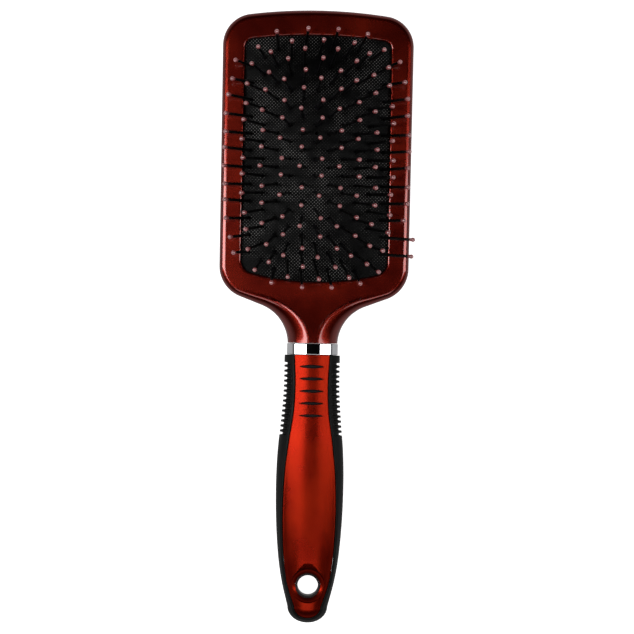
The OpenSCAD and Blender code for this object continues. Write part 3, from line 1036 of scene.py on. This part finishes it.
def cut(obj, cutter):
    """Takes cutter's volume out of obj for good."""
    change = obj.modifiers.new("cut", "BOOLEAN")
    change.operation = "DIFFERENCE"
    change.solver = "EXACT"
    change.object = cutter
    bpy.context.view_layer.update()
    evaluated = obj.evaluated_get(bpy.context.evaluated_depsgraph_get())
    mesh = bpy.data.meshes.new_from_object(evaluated)
    obj.modifiers.clear()
    obj.data = mesh
    bpy.data.objects.remove(cutter)


def hole_cutter():
    """The bore for the liner with a dished recess at both ends."""
    face = float(half_size(-HOLE_Y, 2, SINK))
    half = (LINER_HI[2] - LINER_LO[2]) / 2
    r = LINER_R + LINER_GAP
    profile = [(r, 0.0), (r, half - LINER_GAP)]
    for t in np.linspace(0, 1, 9)[1:]:
        profile.append((r + 2.1 * t + 0.45 * math.sin(math.pi * t), half + (face - half) * t**1.25))
    profile += [(r + 2.7, face + 0.25), (r + 4.0, face + 0.55), (r + 4.0, face + 3)]
    full = [(q, -z) for q, z in profile[:0:-1]] + profile
    centre = np.array([0.0, HOLE_Y, AXIS_Z])
    axes = np.array([1.0, 0, 0]), np.array([0, 1.0, 0]), np.array([0, 0, 1.0])
    points, faces = revolved(full, centre, *axes, 96)
    return mesh_object("hole_cutter", points, faces, HANDLE_RED)


def lens_outline(length, width, n):
    """Lens with blunt points: x along it, y across it."""
    t = np.sin(np.linspace(-math.pi / 2, math.pi / 2, n))
    return length / 2 * t, width / 2 * np.maximum(1 - t**2, 0) ** LENS_FULL


def lens_mesh(name, i, grow, cutter):
    """A thumb bar, or the pocket it lies in."""
    d = BAR_FIRST + i * BAR_PITCH
    width = BAR_W * (1 - BAR_SHRINK * i) + 2 * grow
    x, y = lens_outline(BAR_LEN + 4 * grow, width, 41)
    x, y = x[1:-1], y[1:-1]
    across = np.linspace(-1, 1, 9)
    top, low = [], []
    for px, py in zip(x, y):
        for t in across:
            dist = d - py * t
            skin = AXIS_Z + float(surface_z(px, dist, SINK))
            crown = BAR_CROWN * (1 - t * t) * min(1.0, py / (width / 2) + 0.2)
            top.append((px, -dist, skin + 2 if cutter else skin - BAR_DEEP + crown))
            low.append((px, -dist, skin - 1.0))
    n, m = len(x), len(across)
    count = n * m
    faces = []
    for k in range(n - 1):
        for j in range(m - 1):
            a = k * m + j
            faces.append((a, a + 1, a + m + 1, a + m))
            faces.append((a + count, a + m + count, a + m + 1 + count, a + 1 + count))
    border = list(range(m)) + [k * m + m - 1 for k in range(1, n)]
    border += list(range(count - 2, count - m - 1, -1)) + [k * m for k in range(n - 2, 0, -1)]
    for a, b in zip(border, border[1:] + border[:1]):
        faces.append((a, b, b + count, a + count))
    return mesh_object(name, np.vstack([top, low]), faces, BARS, 50)


def build_bars():
    for i in range(BAR_COUNT):
        bar = lens_mesh(f"thumb_bar_{i + 1}", i, 0, False)
        place(bar, "brush", "grip_rubber", "grip_bars")


def rib_wave(d):
    """0 on the ribs and on the smooth rubber, 1 in the grooves between the ribs."""
    t = (d - RIB_TOP) / RIB_PITCH
    inside = smooth(t / 0.1 + 0.5) * smooth((RIB_COUNT - 0.5 - t) / 0.1 + 0.5)
    f = t - math.floor(t)
    wave = 0.5 + 0.5 * math.cos(2 * math.pi * (f - 0.21))
    return float(inside * smooth((wave - 0.28) / 0.5))


def grip_path():
    """Pairs of points on window's edge and crest, down the right side and up the left."""
    ribs_from, ribs_to = RIB_TOP - 0.6, RIB_TOP + RIB_COUNT * RIB_PITCH
    d_side = np.concatenate([
        np.linspace(HANDLE_TOP, ribs_from, 10)[:-1],
        np.linspace(ribs_from, ribs_to, 380)[:-1],
        np.linspace(ribs_to, TURN_FROM, 60)[:-1],
    ])
    rows = [((float(window_w(d)), -d), (float(half_size(d, 1, 0)), -d)) for d in d_side]
    for t in np.linspace(0, 1, 46):
        w_d = turn_point(WINDOW_END, t)
        o_d = turn_point(-END_Y, t)
        rows.append(((float(window_w(w_d)), -w_d), (float(half_size(o_d, 1, 0)), -o_d)))
    rows = np.array(rows)
    left = rows[-2::-1] * np.array([-1, 1])
    return np.vstack([rows, left])


def turn_point(stop, t):
    """Distance at share t of a quarter turn round the handle's end."""
    return TURN_FROM + (stop - TURN_FROM) * math.sin(t * math.pi / 2)


def level_points(q, p, z_share, inset):
    """Points between rows q and p where the skin has that share of its height at q."""
    target = surface_z(q[:, 0], -q[:, 1], inset) * z_share
    lo, hi = np.zeros(len(q)), np.ones(len(q))
    for _ in range(26):
        mid = (lo + hi) / 2
        at = q + (p - q) * mid[:, None]
        above = surface_z(at[:, 0], -at[:, 1], inset) > target
        lo, hi = np.where(above, mid, lo), np.where(above, hi, mid)
    return np.column_stack([q + (p - q) * lo[:, None], target])


def build_grip():
    """Rubber from the window's front edge round the crest to its back edge, in closed sections."""
    path = grip_path()
    p = path[:, 1]
    reach = p - path[:, 0]
    out = reach / np.linalg.norm(reach, axis=1)[:, None]
    q = path[:, 0] + out * WINDOW_GAP
    reach = np.linalg.norm(p - q, axis=1)
    a, b = half_size(-q[:, 1], 1, 0), half_size(-q[:, 1], 2, 0)
    groove = np.array([rib_wave(-y) if abs(x) > 1 else 0.0 for x, y in q])
    outer = []
    for angle in np.linspace(0, math.pi / 2, 22):
        point = level_points(q, p, math.cos(angle), 0.0)
        run = np.linalg.norm(point[:, :2] - q, axis=1)
        fade = smooth((run - RIB_BORDER) / RIB_FADE)
        bead = EDGE_BEAD * np.exp(-(((run - EDGE_BEAD_AT) / EDGE_BEAD_W) ** 2))
        flat = out * ((run + a - reach) / a**2)[:, None]
        normal = np.column_stack([flat, point[:, 2] / b**2])
        normal /= np.linalg.norm(normal, axis=1)[:, None]
        outer.append(point + normal * (bead - RIB_DEPTH * groove * fade)[:, None])
    down = np.array([0, 0, 0.25])
    sideways = np.column_stack([out * 0.22, np.zeros(len(q))])
    crest = p - out * (GRIP_T - 0.1)
    inner = [level_points(q, crest, s, GRIP_T - 0.1) for s in (1.0, 0.6, 0.25, 0.0)]
    half = [inner[0], outer[0] - down, outer[0] + sideways] + outer[1:]
    flip = np.array([1, 1, -1])
    loops = half + [h * flip for h in half[-2::-1]]
    loops += [h * flip for h in inner[1:-1]] + [inner[-1]] + inner[-2:0:-1]
    points = np.stack(loops, axis=1) + np.array([0, 0, AXIS_Z])
    rings, n, _ = points.shape
    faces = ring_faces(rings, n) + end_faces(rings, n)
    obj = mesh_object("rubber_overmould", points.reshape(-1, 3), faces, GRIP, 40)
    return place(obj, "brush", "grip_rubber", "rubber_grip")


def build_liner():
    """Sleeve in the hanging hole, with rounded ends."""
    half = (LINER_HI[2] - LINER_LO[2]) / 2
    r, arc = LINER_EDGE, np.linspace(0, math.pi / 2, 5)
    rounding = [(r * (1 - math.sin(q)), half - r * (1 - math.cos(q))) for q in arc]
    upper = [(LINER_R - d, z) for d, z in rounding[::-1]] + [(HANG_R + d, z) for d, z in rounding]
    profile = upper + [(r, -z) for r, z in upper[::-1]]
    q = np.linspace(0, 2 * math.pi, LINER_POINTS, endpoint=False)
    rings = []
    for r, z in profile:
        level = np.full(LINER_POINTS, AXIS_Z + z)
        rings.append(np.column_stack([r * np.cos(q), HOLE_Y + r * np.sin(q), level]))
    faces = ring_faces(len(rings), LINER_POINTS, True)
    obj = mesh_object("hanging_liner", np.vstack(rings), faces, LINER, 50)
    return place(obj, "brush", "liner_black", "hang_liner")


# ---------------------------------------------------------------- stage, light and camera


def build_stage():
    """White floor with a soft glow. The gloss on the brush doesn't mirror it."""
    mat, _, shader = material("floor", (0.9, 0.9, 0.9), 0.9)
    shader.inputs["Emission Color"].default_value = (1, 1, 1, 1)
    shader.inputs["Emission Strength"].default_value = 1.0
    corners = ((-1, -1), (1, -1), (1, 1), (-1, 1))
    points = [(FLOOR_HALF * x, FLOOR_HALF * y, -FLOOR_DROP) for x, y in corners]
    floor = mesh_object("floor", points, [(0, 1, 2, 3)], mat, flat=True)
    floor.visible_glossy = False


def softbox(name, place_mm, width, length, watts):
    """Rectangular area light, with all sizes in millimetres."""
    light = bpy.data.lights.new(name, "AREA")
    light.shape = "RECTANGLE"
    light.size = width * MM
    light.size_y = length * MM
    light.energy = watts
    obj = bpy.data.objects.new(name, light)
    bpy.context.scene.collection.objects.link(obj)
    obj.location = Vector(place_mm) * MM
    aim = Vector(LIGHT_AIM) - Vector(place_mm)
    obj.rotation_euler = aim.to_track_quat("-Z", "Y").to_euler()


def build_light():
    """Softboxes, and a world that is grey at the horizon and dark overhead."""
    for box in SOFTBOXES:
        softbox(*box)
    world = bpy.data.worlds.new("studio")
    world.use_nodes = True
    tree = world.node_tree
    split = tree.nodes.new("ShaderNodeSeparateXYZ")
    coords = tree.nodes.new("ShaderNodeTexCoord")
    tree.links.new(coords.outputs["Generated"], split.inputs["Vector"])
    shade = ramp(tree, split.outputs["Z"], (0.45, 0.45, 0.45), (0.002, 0.002, 0.002), 0.1, 0.6)
    tree.links.new(shade, tree.nodes["Background"].inputs["Color"])
    bpy.context.scene.world = world
    bpy.context.scene.view_settings.view_transform = "Standard"


def build_camera():
    """Straight above the brush, which lies turned a little clockwise in the picture."""
    cam = bpy.data.cameras.new("camera")
    cam.sensor_width = SENSOR
    cam.lens = SENSOR * (CAMERA_HEIGHT - HEAD_T) / CAMERA_FIELD
    cam.clip_start = 0.05
    obj = bpy.data.objects.new("camera", cam)
    bpy.context.scene.collection.objects.link(obj)
    obj.location = Vector((CAMERA_X, 0.0, CAMERA_HEIGHT)) * MM
    obj.rotation_euler = (0, 0, CAMERA_ROLL)
    bpy.context.scene.camera = obj


build_head_front()
build_head_back()
build_cushion_dome()
build_cushion_rim()
build_pins()
build_ferrule()
build_core()
build_bars()
build_grip()
build_liner()
build_stage()
build_light()
build_camera()
